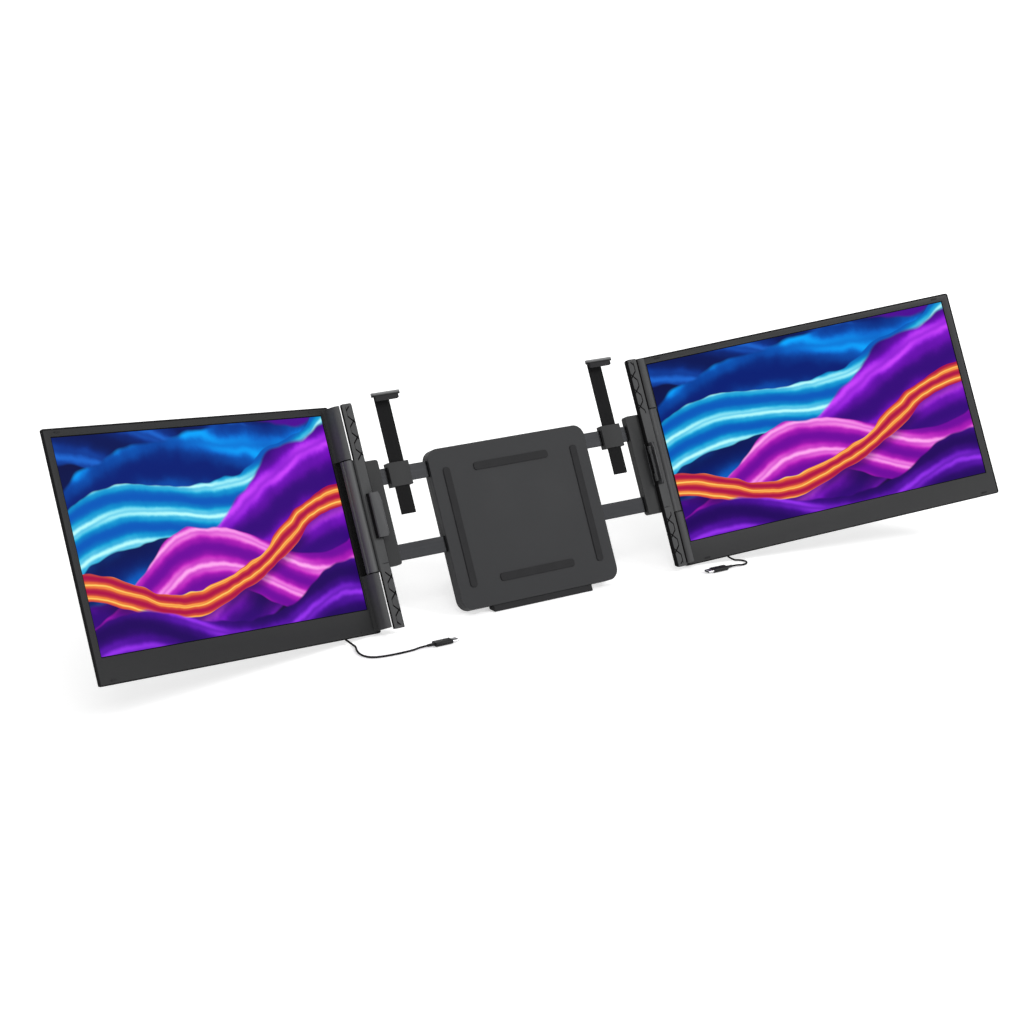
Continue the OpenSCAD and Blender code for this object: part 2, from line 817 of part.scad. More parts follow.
module column_screws(side) {
    color("gray") in_lid(side) for (z = bars_at, x = mount_screws_x) {
        translate([x, mount_back_y - screw_sunk, z]) screw_head(screw_head_r, screw_head_t - screw_sunk);
    }
}

module slide_bars(side) {
    color("silver") in_lid(side) for (z = bars_at) {
        block([bar_in, bar_y, z - bar_h / 2], [bar_out, bar_back_y, z + bar_h / 2]);
    }
}

// ---------- side clip ----------

// Section of the clip: plate with bevelled edges, and a skirt turned back along its outer edge
module clip_section() {
    polygon([
        [clip_in, clip_front + clip_edge[1]], [clip_in + clip_edge[0], clip_front],
        [clip_out - clip_bevel, clip_front], [clip_out, clip_front + clip_bevel],
        [clip_out, clip_skirt_y], [clip_out - clip_skirt_t, clip_skirt_y],
        [clip_out - clip_skirt_t, clip_back], [clip_in, clip_back]
    ]);
}

// How far each clip stands open: the left one grips, the right one is folded forward
function clip_turn(side) = side < 0 ? 0 : 90;

module on_clip(side) {
    in_lid(side) translate([clip_pin_x, clip_pin_y, 0]) rotate([0, 0, clip_turn(side)])
        translate([-clip_pin_x, -clip_pin_y, 0]) children();
}

// The pad's room in the clip's back face, and the pad itself
module clip_pad_form() {
    block([clip_pad_x[0], clip_back - clip_pad_sunk, clip_pad_z[0]],
          [clip_pad_x[1], clip_back - clip_pad_sunk + clip_pad_t, clip_pad_z[1]]);
}

module clip(side) {
    color("#4a4b4d") on_clip(side) difference() {
        union() {
            upright(clip_low, clip_high) clip_section();
            upright(clip_lug_low + clip_lug + fit_gap, clip_lug_high - clip_lug - fit_gap) {
                translate([clip_pin_x, clip_pin_y]) circle(clip_knuckle_r);
                translate([clip_pin_x - clip_knuckle_r, clip_back - eps])
                    square([2 * clip_knuckle_r, clip_pin_y - clip_back + eps]);
            }
        }
        // bevelled corners of the free edge
        standing(clip_front - 1, clip_back + 1) {
            polygon([[clip_in - 1, clip_high + 1], [clip_in - 1, clip_high - clip_corner[1]],
                     [clip_in, clip_high - clip_corner[1]], [clip_in + clip_corner[0], clip_high],
                     [clip_in + clip_corner[0], clip_high + 1]]);
            polygon([[clip_in - 1, clip_low - 1], [clip_in + clip_corner[0], clip_low - 1],
                     [clip_in + clip_corner[0], clip_low], [clip_in, clip_low + clip_corner[0]],
                     [clip_in - 1, clip_low + clip_corner[0]]]);
        }
        translate([clip_pin_x, clip_pin_y, clip_low]) cylinder(h = clip_h, r = clip_pin_r + run_gap);
        clip_pad_form();
    }
}

module clip_pad(side) {
    color("#1d1d1e") on_clip(side) clip_pad_form();
}

module clip_pin(side) {
    color("gainsboro") in_lid(side) translate([clip_pin_x, clip_pin_y, clip_lug_low])
        cylinder(h = clip_lug_high - clip_lug_low, r = clip_pin_r);
}

// ---------- top hook ----------

module hook_guide(side) {
    color("#3f4042") in_lid(side) difference() {
        block([hook_x - guide_w / 2, stem_y - guide_wall, guide_low],
              [hook_x + guide_w / 2, bar_back_y + guide_back, guide_high]);
        block([hook_x - stem_w / 2 - slide_gap, stem_y - slide_gap, guide_low - 1],
              [hook_x + stem_w / 2 + slide_gap, stem_y + stem_t + slide_gap, guide_high + 1]);
        block([0, bar_y, bar_high - bar_h / 2], [bar_out, bar_back_y, bar_high + bar_h / 2]);
    }
}

// Front view of the hook's lip, drawn in by inset on its sides and lower edge
module lip_outline(inset) {
    half = hook_lip_w / 2 - inset;
    round_rect([hook_x - half, lid_top - hook_lip_drop + inset], [hook_x + half, lid_top + hook_t / 2],
               hook_lip_r - inset);
}

module lip_core() {
    standing(hook_lip_y + hook_pad_t, hook_lip_y + hook_pad_t + hook_lip_t) lip_outline(hook_pad_t);
}

module top_hook(side) {
    back = stem_y + stem_t;
    color("#8e9092") in_lid(side) {
        block([hook_x - stem_w / 2, stem_y, stem_low], [hook_x + stem_w / 2, back, lid_top + hook_t]);
        lip_core();
        // bar over the lid's edge with a rounded nose, and the bridge back to the stem
        intersection() {
            upright(lid_top, lid_top + hook_t) {
                round_rect([hook_x - hook_w / 2, hook_lip_y], [hook_x + hook_w / 2, hook_lip_y + hook_bar_t],
                           hook_round);
                translate([hook_x - stem_w / 2, hook_lip_y + hook_bar_t - 1])
                    square([stem_w, back - hook_lip_y - hook_bar_t + 1]);
            }
            across(hook_x - hook_w, hook_x + hook_w) {
                translate([hook_lip_y + hook_nose, lid_top + hook_t - hook_nose]) circle(hook_nose);
                translate([hook_lip_y, lid_top]) square([back - hook_lip_y, hook_t - hook_nose]);
                translate([hook_lip_y + hook_nose, lid_top]) square([back - hook_lip_y - hook_nose, hook_t]);
            }
        }
    }
}

// Rubber boot drawn over the lip
module hook_pad(side) {
    color("#1d1d1e") in_lid(side) difference() {
        intersection() {
            standing(hook_lip_y, hook_lip_y + hook_lip_t + 2 * hook_pad_t) lip_outline(0);
            block([hook_x - hook_w, -10, 0], [hook_x + hook_w, 10, lid_top]);
        }
        lip_core();
    }
}

// ---------- centre bracket ----------

module centre_outline(inset) {
    round_rect([-centre_w / 2 + inset, centre_low + inset], [centre_w / 2 - inset, centre_top - inset],
               centre_r - inset);
}

module bracket_front() {
    color("#35373a") placed() {
        difference() {
            standing(front_y, shell_y) centre_outline(0);
            standing(cavity_y, shell_y + 1) centre_outline(wall);
            for (z = bars_at) {
                block([-centre_w, bar_y - slide_gap, z - bar_h / 2 - slide_gap],
                      [centre_w, bar_back_y + slide_gap, z + bar_h / 2 + slide_gap]);
            }
        }
        // posts that the back cover is screwed to
        for (at = bracket_screws_at) {
            translate([at[0], shell_y, at[1]]) rotate([90, 0, 0])
                cylinder(h = shell_y - cavity_y + eps, r = post_r);
        }
    }
}

module bracket_back() {
    color("#35373a") placed() difference() {
        union() {
            standing(shell_y, centre_back_y) centre_outline(0);
            for (side = [left, right]) {
                x = side < 0 ? -stand_lug_x - stand_lug_w : stand_lug_x;
                across(x, x + stand_lug_w) {
                    translate([stand_y, stand_z]) circle(stand_barrel_r);
                    translate([shell_y, stand_z - stand_barrel_r])
                        square([stand_y - shell_y, 2 * stand_barrel_r]);
                }
            }
        }
        translate([-centre_w / 2, stand_y, stand_z]) rotate([0, 90, 0])
            cylinder(h = centre_w, r = stand_pin_r);
        for (at = bracket_screws_at) {
            translate([at[0], centre_back_y + 1, at[1]]) rotate([90, 0, 0])
                cylinder(h = screw_head_t + 1, r = screw_head_r);
        }
    }
}

module bracket_rails() {
    color("ivory") placed() intersection() {
        standing(cavity_y, rail_back_y) centre_outline(wall);
        for (z = bars_at) {
            difference() {
                block([-centre_w / 2, cavity_y, z - bar_h / 2 - rail_wall],
                      [centre_w / 2, rail_back_y, z + bar_h / 2 + rail_wall]);
                block([-centre_w, bar_y - slide_gap, z - bar_h / 2 - slide_gap],
                      [centre_w, bar_back_y + slide_gap, z + bar_h / 2 + slide_gap]);
            }
        }
    }
}

module lid_pads() {
    color("#1d1d1e") placed() standing(lid_back, front_y) {
        for (x = [-centre_w / 2 + strip_inset, centre_w / 2 - strip_inset - strip_w]) {
            round_rect([x, strips_z[0]], [x + strip_w, strips_z[1]], strip_r);
        }
        for (z = [strips_z[0], strips_z[1] - strip_w]) {
            round_rect([-cross_strip_half, z], [cross_strip_half, z + strip_w], strip_r);
        }
    }
}

module desk_foot() {
    color("#1d1d1e") difference() {
        placed() block([-desk_foot_half, front_y + 1, -12], [desk_foot_half, centre_back_y - 1, centre_low]);
        block([-centre_w, -centre_w, -centre_w], [centre_w, centre_w, 0]);
    }
}

module bracket_screws() {
    color("gray") placed() for (at = bracket_screws_at) {
        translate([at[0], centre_back_y - screw_sunk, at[1]])
            screw_head(screw_head_r, screw_head_t - screw_sunk);
    }
}

// ---------- kickstand ----------

// From the stand's own frame, hanging straight down from its hinge, to its open place
module on_stand() {
    placed() translate([0, stand_y, stand_z]) rotate([stand_open, 0, 0]) children();
}

module kickstand() {
    color("#46484b") on_stand() difference() {
        union() {
            rotate([0, 90, 0]) translate([0, 0, -stand_w / 2]) cylinder(h = stand_w, r = stand_barrel_r);
            standing(-stand_t / 2, stand_t / 2) polygon([
                [-stand_w / 2, 0], [stand_w / 2, 0], [stand_w / 2, -stand_shoulder],
                [stand_w / 2 - stand_taper, -stand_len], [-stand_w / 2 + stand_taper, -stand_len],
                [-stand_w / 2, -stand_shoulder]
            ]);
        }
        rotate([0, 90, 0]) translate([0, 0, -stand_w]) cylinder(h = 2 * stand_w, r = stand_pin_r + run_gap);
        translate([-stand_w, 0, -stand_len]) rotate([0, 90, 0]) cylinder(h = 2 * stand_w, r = foot_r);
        // finger notch
        translate([0, -5, -stand_len + foot_r]) rotate([-90, 0, 0]) cylinder(h = 10, r = stand_notch_r);
    }
}

module kickstand_pin() {
    color("gainsboro") placed() translate([-stand_lug_x - stand_lug_w, stand_y, stand_z])
        rotate([0, 90, 0]) cylinder(h = 2 * (stand_lug_x + stand_lug_w), r = stand_pin_r);
}

module kickstand_foot() {
    half = stand_w / 2 - stand_taper;
    color("#1d1d1e") on_stand() for (x = [-half, stand_notch_half]) {
        translate([x, 0, -stand_len]) rotate([0, 90, 0]) cylinder(h = half - stand_notch_half, r = foot_r);
    }
}

// ---------- cords ----------

function unit(v) = v / norm(v);
// Direction of a route at point i: straight out of the plug at either end
function heading(route, i, first, last) =
    i == 0 ? first : i == len(route) - 1 ? last : unit(route[i + 1] - route[i - 1]);

// A round tube swept along a route, with its end faces square to the given directions
module tube(route, first, last, r, sides) {
    count = len(route);
    rings = [for (i = [0 : count - 1])
        let (t = heading(route, i, first, last), across = unit(cross(t, [0, 0, 1])), over = cross(across, t))
        for (k = [0 : sides - 1])
            route[i] + r * (cos(360 * k / sides) * across + sin(360 * k / sides) * over)];
    faces = [
        [for (k = [0 : sides - 1]) k],
        for (i = [0 : count - 2], k = [0 : sides - 1])
            [i * sides + k, (i + 1) * sides + k,
             (i + 1) * sides + (k + 1) % sides, i * sides + (k + 1) % sides],
        [for (k = [sides - 1 : -1 : 0]) (count - 1) * sides + k]
    ];
    polyhedron(rings, faces, convexity = 10);
}

// Where the monitor plug's relief ends, on the desk's frame
function cord_start(side) = [
    side * plug_end[0],
    plug_end[1] * cos(lean) + plug_end_z * sin(lean) - origin_y,
    -plug_end[1] * sin(lean) + plug_end_z * cos(lean) + desk_drop
];

module monitor_plug(side) {
    color("#202122") in_monitor(side) translate([port_u, port_v, 0]) {
        upright(pod_z[0] - plug_len, pod_z[0] - plug_seat)
            round_rect([-plug_w / 2, -plug_t / 2], [plug_w / 2, plug_t / 2], plug_round);
        block([-tongue[0] / 2, -tongue[1] / 2, pod_z[0] - plug_seat - eps],
              [tongue[0] / 2, tongue[1] / 2, pod_z[0] + tongue_in]);
        translate([0, 0, plug_end_z]) cylinder(h = relief_len, r1 = cord_r + relief_tip, r2 = relief_r);
    }
}

module laptop_plug(side) {
    at = side < 0 ? left_far : right_far;
    color("#202122") translate([at[0], at[1], far_z]) rotate([0, -90 * side, 0]) {
        upright(0, far_plug_len) round_rect([-plug_t / 2, -plug_w / 2], [plug_t / 2, plug_w / 2], plug_round);
        block([-tongue[1] / 2, -tongue[0] / 2, far_plug_len - eps],
              [tongue[1] / 2, tongue[0] / 2, far_plug_len + tongue_len]);
        translate([0, 0, -far_relief_len])
            cylinder(h = far_relief_len, r1 = cord_r + relief_tip, r2 = relief_r);
    }
}

module cord(side) {
    route = side < 0 ? left_route : right_route;
    at = side < 0 ? left_far : right_far;
    color("#18191a") tube(
        concat([cord_start(side)], route, [[at[0] + side * far_relief_len, at[1], far_z]]),
        down, [-side, 0, 0], cord_r, 8);
}

bezel(left);  // left_bezel
screen(left);  // left_screen
back_cover(left);  // left_back_cover
driver_board(left);  // left_driver_board
ports(left);  // left_ports
button(left, 0);  // left_power_button
button(left, 1);  // left_menu_button
bumpers(left);  // left_bumpers
cover_screws(left);  // left_cover_screws
knuckles(left);  // left_knuckles
hinge_leaves(left);  // left_hinge_leaves
hinge_shafts(left);  // left_hinge_shafts
column(left);  // left_column
column_back(left);  // left_column_back
column_screws(left);  // left_column_screws
slide_bars(left);  // left_slide_bars
clip(left);  // left_clip
clip_pad(left);  // left_clip_pad
clip_pin(left);  // left_clip_pin
hook_guide(left);  // left_hook_guide
top_hook(left);  // left_top_hook
hook_pad(left);  // left_hook_pad
monitor_plug(left);  // left_monitor_plug
cord(left);  // left_cord
laptop_plug(left);  // left_laptop_plug
bezel(right);  // right_bezel
screen(right);  // right_screen
back_cover(right);  // right_back_cover
driver_board(right);  // right_driver_board
ports(right);  // right_ports
button(right, 0);  // right_power_button
button(right, 1);  // right_menu_button
bumpers(right);  // right_bumpers
cover_screws(right);  // right_cover_screws
knuckles(right);  // right_knuckles
hinge_leaves(right);  // right_hinge_leaves
hinge_shafts(right);  // right_hinge_shafts
column(right);  // right_column
column_back(right);  // right_column_back
column_screws(right);  // right_column_screws
slide_bars(right);  // right_slide_bars
clip(right);  // right_clip
clip_pad(right);  // right_clip_pad
clip_pin(right);  // right_clip_pin
hook_guide(right);  // right_hook_guide
top_hook(right);  // right_top_hook
hook_pad(right);  // right_hook_pad
monitor_plug(right);  // right_monitor_plug
cord(right);  // right_cord
laptop_plug(right);  // right_laptop_plug
bracket_front();
bracket_back();
bracket_rails();
lid_pads();
desk_foot();
bracket_screws();
kickstand();
kickstand_pin();
kickstand_foot();
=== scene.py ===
# Laptop screen extender: two slim side monitors on hinged columns that grip a laptop lid.
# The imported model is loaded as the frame; each section gives one piece its finish and
# models what the frame leaves plain.
import json
import math

import bpy
from mathutils import Matrix, Vector


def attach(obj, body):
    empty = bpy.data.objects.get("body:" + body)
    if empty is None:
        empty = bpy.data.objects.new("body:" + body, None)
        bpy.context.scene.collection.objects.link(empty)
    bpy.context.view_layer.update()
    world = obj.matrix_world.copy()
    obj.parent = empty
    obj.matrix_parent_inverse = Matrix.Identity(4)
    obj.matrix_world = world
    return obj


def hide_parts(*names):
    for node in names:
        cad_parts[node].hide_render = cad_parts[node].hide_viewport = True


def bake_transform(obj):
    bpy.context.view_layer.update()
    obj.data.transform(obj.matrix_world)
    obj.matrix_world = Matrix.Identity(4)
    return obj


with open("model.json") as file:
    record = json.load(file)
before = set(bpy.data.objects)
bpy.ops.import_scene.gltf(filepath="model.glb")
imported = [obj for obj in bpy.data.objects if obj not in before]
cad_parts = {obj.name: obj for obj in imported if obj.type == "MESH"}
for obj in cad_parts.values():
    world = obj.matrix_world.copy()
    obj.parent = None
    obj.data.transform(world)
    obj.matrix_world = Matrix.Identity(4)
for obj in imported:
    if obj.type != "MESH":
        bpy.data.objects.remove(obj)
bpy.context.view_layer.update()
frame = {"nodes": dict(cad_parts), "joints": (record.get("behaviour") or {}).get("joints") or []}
sides = ("left", "right")

# --- View -----------------------------------------------------------------------------
# The camera stands at the left in front of the desk, a little above the screens.
camera_place = Vector((-1.2957, -1.83629, 0.76547))
camera_right = Vector((0.82566, -0.56416, 0.00333))
camera_up = Vector((0.15923, 0.23868, 0.95796))
camera_back = camera_right.cross(camera_up).normalized()
camera_right = camera_up.cross(camera_back).normalized()

camera_data = bpy.data.cameras.new("camera")
camera_data.sensor_width = 36.0
camera_data.lens = 83.07
camera = bpy.data.objects.new("camera", camera_data)
turned = Matrix((camera_right, camera_up, camera_back)).transposed().to_4x4()
camera.matrix_world = Matrix.Translation(camera_place) @ turned
bpy.context.scene.collection.objects.link(camera)
bpy.context.scene.camera = camera
bpy.context.scene.view_settings.view_transform = "Standard"


# --- Room -----------------------------------------------------------------------------
# A pale sweep of card in a small studio: a broad soft box in front on the right, a weaker
# one in front on the left, one behind, and an even white surround.
class Value:
    """One output in a node tree. Sums on it become Math nodes."""

    def __init__(self, finish, socket):
        self.finish = finish
        self.socket = socket

    def __add__(self, other):
        return self.finish.sum("ADD", self, other)

    def __radd__(self, other):
        return self.finish.sum("ADD", other, self)

    def __sub__(self, other):
        return self.finish.sum("SUBTRACT", self, other)

    def __rsub__(self, other):
        return self.finish.sum("SUBTRACT", other, self)

    def __mul__(self, other):
        return self.finish.sum("MULTIPLY", self, other)

    def __rmul__(self, other):
        return self.finish.sum("MULTIPLY", other, self)

    def __truediv__(self, other):
        return self.finish.sum("DIVIDE", self, other)

    def __pow__(self, other):
        return self.finish.sum("POWER", self, other)


class Finish:
    """The node tree of a material or of the world, whose nodes are written as expressions."""

    def __init__(self, owner, shader="Principled BSDF"):
        owner.use_nodes = True
        self.owner = owner
        self.tree = owner.node_tree
        self.shader = self.tree.nodes[shader]

    def wire(self, value, socket):
        if isinstance(value, Value):
            self.tree.links.new(value.socket, socket)
        elif socket.type == "RGBA":
            socket.default_value = (*value, 1.0)
        else:
            socket.default_value = value

    def node(self, kind, settings, inputs, output=0):
        made = self.tree.nodes.new("ShaderNode" + kind)
        for name, setting in settings.items():
            setattr(made, name, setting)
        for name, value in inputs.items():
            self.wire(value, made.inputs[name])
        return Value(self, made.outputs[output])

    def surface(self, inputs):
        for name, value in inputs.items():
            self.wire(value, self.shader.inputs[name])

    def sum(self, operation, first, second=0.0):
        return self.node("Math", {"operation": operation}, {0: first, 1: second})

    def place(self):
        return self.node("TexCoord", {}, {}, "Object")

    def along(self, direction, start):
        """How far a place lies from start along a direction."""
        dot = {"operation": "DOT_PRODUCT"}
        reach = self.node("VectorMath", dot, {0: self.place(), 1: direction}, 1)
        return reach - start.dot(direction)

    def noise(self, scale, detail=2.0, place=None):
        where = self.place() if place is None else place
        return self.node("TexNoise", {}, {"Vector": where, "Scale": scale, "Detail": detail})

    def mix(self, amount, first, second):
        return self.node("Mix", {"data_type": "RGBA"}, {0: amount, 6: first, 7: second}, 2)

    def between(self, value, low, high):
        """0 below low, 1 above high and an easy slope between; low may be the larger."""
        smooth = {"interpolation_type": "SMOOTHSTEP"}
        if low <= high:
            return self.node("MapRange", smooth, {0: value, 1: low, 2: high, 3: 0.0, 4: 1.0})
        return self.node("MapRange", smooth, {0: value, 1: high, 2: low, 3: 1.0, 4: 0.0})

    def within(self, value, low, high, fade):
        """1 from low to high and 0 outside, with an easy slope as wide as fade at both."""
        return self.between(value, low - fade, low) * self.between(value, high + fade, high)

    def bump(self, height, strength, distance):
        relief = {"Height": height, "Strength": strength, "Distance": distance}
        return self.node("Bump", {}, relief)

    def seen(self):
        """1 where a ray comes from the camera, by a mirror or through glass, else 0."""
        rays = self.tree.nodes.new("ShaderNodeLightPath")
        kinds = [rays.outputs[f"Is {kind} Ray"] for kind in ("Camera", "Glossy", "Transmission")]
        camera_ray, glossy_ray, glass_ray = [Value(self, socket) for socket in kinds]
        return self.sum("MINIMUM", camera_ray + glossy_ray + glass_ray, 1.0)


card_size = 40.0
card_below = 0.0004
# how far from the middle the card begins to brighten to the surround's white, and is white
grey_reach = 0.9
white_reach = 2.6

card = Finish(bpy.data.materials.new("pale_card"))
reach = card.node("VectorMath", {"operation": "LENGTH"}, {0: card.place()}, 1)
whiten = card.between(reach, grey_reach, white_reach)
glow = card.mix(whiten, (0.42, 0.42, 0.42), (1.0, 1.0, 1.0))
card.surface({
    "Base Color": card.mix(card.noise(3.0), (0.86, 0.86, 0.86), (0.88, 0.88, 0.88)),
    "Roughness": 0.9,
    "Emission Color": card.mix(card.seen(), (0.0, 0.0, 0.0), glow),
    "Emission Strength": 1.0,
})
bpy.ops.object.select_all(action="DESELECT")
bpy.ops.mesh.primitive_grid_add(
    x_subdivisions=4, y_subdivisions=4, size=card_size, location=(0.0, 0.0, -card_below)
)
floor = bpy.context.object
floor.name = "floor"
floor.data.materials.append(card.owner)

world = bpy.data.worlds.new("surround")
bpy.context.scene.world = world
surround = Finish(world, "Background")
surround.surface({"Color": (1.0, 1.0, 1.0), "Strength": 0.5 + surround.seen() * 0.5})


def soft_box(name, place, size, power):
    """A round lamp that is aimed at the middle of the part."""
    data = bpy.data.lights.new(name, "AREA")
    data.shape = "DISK"
    data.size = size
    data.energy = power
    lamp = bpy.data.objects.new(name, data)
    lamp.location = place
    lamp.rotation_euler = (lamp_aim - Vector(place)).to_track_quat("-Z", "Y").to_euler()
    bpy.context.scene.collection.objects.link(lamp)


lamp_aim = Vector((0.0, 0.0, 0.1))
soft_box("right_box", (1.9, -2.2, 2.2), size=1.4, power=62.0)
soft_box("left_box", (-1.6, -2.2, 2.6), size=1.6, power=26.0)
soft_box("back_box", (0.4, 2.6, 2.2), size=1.6, power=30.0)

# --- Cords ----------------------------------------------------------------------------
# A USB lead runs from the pod behind each monitor, over the desk, to the laptop. It has a
# soft black jacket, 2 mm thick, and a moulded plug with a plated tongue at either end.
cord_radius = 0.001
# each lead's way in millimetres, from its monitor's plug to the laptop's
cord_routes = {
    "left": (
        (-233.632, -0.615, 8.143), (-231.2, -2.8, 5.3), (-228.6, -5.2, 2.8), (-227.0, -8.8, 1.0),
        (-227.2, -13.0, 1.0), (-228.9, -18.0, 1.0), (-231.2, -23.0, 1.0), (-233.0, -28.2, 1.0),
        (-234.2, -33.6, 1.0), (-234.3, -38.8, 1.0), (-233.0, -43.6, 1.0), (-230.4, -47.4, 1.0),
        (-226.6, -50.0, 1.0), (-221.6, -51.6, 1.0), (-216.0, -52.6, 1.0), (-210.0, -53.2, 1.0),
        (-204.0, -53.5, 1.0), (-198.0, -53.6, 1.0), (-192.0, -53.5, 1.0), (-186.0, -53.3, 1.2),
        (-179.5, -53.1, 1.9), (-171.5, -53.0, 2.1),
    ),
    "right": (
        (233.632, -0.615, 8.143), (236.2, -2.4, 5.4), (239.4, -4.2, 2.9), (243.0, -6.4, 1.0),
        (246.2, -9.2, 1.0), (248.5, -12.4, 1.0), (249.4, -16.0, 1.0), (248.4, -19.6, 1.0),
        (245.8, -22.2, 1.0), (242.2, -23.6, 1.0), (238.0, -24.0, 1.2), (232.6, -23.8, 1.9),
        (225.0, -23.5, 2.1),
    ),
}


def rounded(route, steps=5):
    """The route's points with a smooth curve's points between them."""
    points = [Vector(point) * 0.001 for point in route]
    before = [2 * points[0] - points[1], *points[:-1]]
    after = [*points[1:], 2 * points[-1] - points[-2]]
    line = []
    for i in range(len(points) - 1):
        start, end = points[i], points[i + 1]
        leave, arrive = (end - before[i]) / 2, (after[i + 1] - start) / 2
        for step in range(steps):
            t = step / steps
            line.append(
                start * (2 * t**3 - 3 * t**2 + 1)
                + leave * (t**3 - 2 * t**2 + t)
                + end * (3 * t**2 - 2 * t**3)
                + arrive * (t**3 - t**2)
            )
    return [*line, points[-1]]


jacket = Finish(bpy.data.materials.new("cord_jacket"))
jacket_tone = jacket.noise(160.0, 3.0)
jacket.surface({
    "Base Color": jacket.mix(jacket_tone, (0.004, 0.004, 0.0045), (0.009, 0.009, 0.0095)),
    "Roughness": 0.55 + jacket_tone * 0.2,
    "Specular IOR Level": 0.12,
    "Normal": jacket.bump(jacket.noise(2600.0), 0.3, 0.00006),
})

cords = {}
for side in sides:
    line = rounded(cord_routes[side])
    curve = bpy.data.curves.new(f"{side}_lead", "CURVE")
    curve.dimensions = "3D"
    curve.bevel_depth = cord_radius
    curve.bevel_resolution = 4
    curve.use_fill_caps = True
    spline = curve.splines.new("POLY")
    spline.points.add(len(line) - 1)
    for point, place in zip(spline.points, line):
        point.co = (*place, 1.0)
    drawn = bpy.data.objects.new("drawn_lead", curve)
    bpy.context.scene.collection.objects.link(drawn)
    bpy.context.view_layer.update()
    graph = bpy.context.evaluated_depsgraph_get()
    tube = bpy.data.meshes.new_from_object(drawn.evaluated_get(graph))
    bpy.data.objects.remove(drawn)
    lead = bpy.data.objects.new(f"{side}_lead", tube)
    bpy.context.scene.collection.objects.link(lead)
    tube.materials.clear()
    tube.materials.append(jacket.owner)
    tube.shade_smooth()
    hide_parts(f"{side}_cord")
    # the lead's start swings with the monitor, and what lies on the desk stays there
    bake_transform(lead)
    cords[side] = (lead, line)


# --- Monitor housings -----------------------------------------------------------------
# A flat bezel and a back cover with the electronics pod, moulded in black ABS. The tool is
# spark eroded, so the faces carry a fine even grain, glossier where hands rub them. The
# bezel's sides, its outer rim, its lip round the picture and its recess at the hinge are
# coloured near black as painted shade, and the left bezel is coloured darker than the right
# as painted shade.
joints = {joint["name"]: joint for joint in frame["joints"]}
lid_up = -Vector(joints["right_monitor_hinge"]["axis"])
lid_back = lid_up.cross(Vector((1.0, 0.0, 0.0)))
# half the column's height, and the hinge's way out and back from the lid's lower corner
half_column = 0.11175
hinge_x = 0.185
hinge_y = 0.0045
right_hinge = Vector(joints["right_monitor_hinge"]["pos_m"])
lid_corner = right_hinge - lid_up * half_column - lid_back * hinge_y - Vector((hinge_x, 0.0, 0.0))

panel_h = 0.2249
picture_w = 0.3442
hinge_to_picture = 0.0091
panel_end = hinge_to_picture + picture_w + 0.0087
bezel_face = 0.0109
# heights of the seams between the monitor's knuckles and the column's middle barrel
seam_low = 0.0572
seam_high = 0.1685
# near black that stands for painted shade on rims, flanks, grooves and seams
shade_black = (0.0045, 0.0045, 0.0048)

# each monitor's hinge, its direction outward along the panel and its direction back
panels = {}
for side in sides:
    back = -Vector(joints[f"{side}_power_press"]["axis"])
    outward = back.cross(lid_up) * (1.0 if side == "right" else -1.0)
    panels[side] = (Vector(joints[f"{side}_monitor_hinge"]["pos_m"]), outward, back)


def moulded(name, colour, roughness=0.56, grain=0.00035, painted_shade=None):
    """Grained plastic; the last argument gives the share of painted shade, near black, at a
    place.
    """
    plastic = Finish(bpy.data.materials.new(name))
    cloud = plastic.noise(38.0, 3.0)
    fine = plastic.noise(1.0 / grain)
    rub = plastic.between(plastic.noise(9.0, 4.0), 0.42, 0.72)
    tone = plastic.mix(cloud, [0.90 * c for c in colour], [1.08 * c for c in colour])
    tone = plastic.mix(fine * 0.35, tone, [1.35 * c for c in colour])
    shine = roughness + (cloud - 0.5) * 0.10 - rub * 0.07
    if painted_shade is not None:
        # near black as painted shade where the mask puts it
        share = painted_shade(plastic)
        tone = plastic.mix(share, tone, shade_black)
        shine = shine + share * 0.3
    plastic.surface({
        "Base Color": tone,
        "Roughness": shine,
        "Specular IOR Level": 0.15,
        "Normal": plastic.bump(fine, 0.22, grain * 0.35),
    })
    return plastic


eased = {}


def give(finish, *nodes):
    for node in nodes:
        piece = eased.get(node, frame["nodes"][node])
        piece.data.materials.clear()
        piece.data.materials.append(finish.owner)


def ease(width, body, slot, *nodes):
    """Gives copies of the frame's nodes the small rounds a tool leaves on their edges."""
    for node in nodes:
        bpy.ops.object.select_all(action="DESELECT")
        piece = bpy.data.objects.new(f"{node}_eased", frame["nodes"][node].data.copy())
        bpy.context.scene.collection.objects.link(piece)
        piece.select_set(True)
        bpy.context.view_layer.objects.active = piece
        bpy.ops.object.mode_set(mode="EDIT")
        bpy.ops.mesh.select_all(action="SELECT")
        bpy.ops.mesh.remove_doubles(threshold=0.000002)
        bpy.ops.mesh.dissolve_limited(angle_limit=math.radians(0.5))
        bpy.ops.object.mode_set(mode="OBJECT")
        bevel = piece.modifiers.new("rounds", "BEVEL")
        bevel.width = width
        bevel.segments = 2
        bevel.limit_method = "ANGLE"
        bevel.angle_limit = math.radians(35.0)
        bpy.ops.object.modifier_apply(modifier="rounds")
        bpy.ops.object.shade_smooth_by_angle(angle=math.radians(25.0))
        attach(piece, body)
        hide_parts(node)
        eased[node] = piece


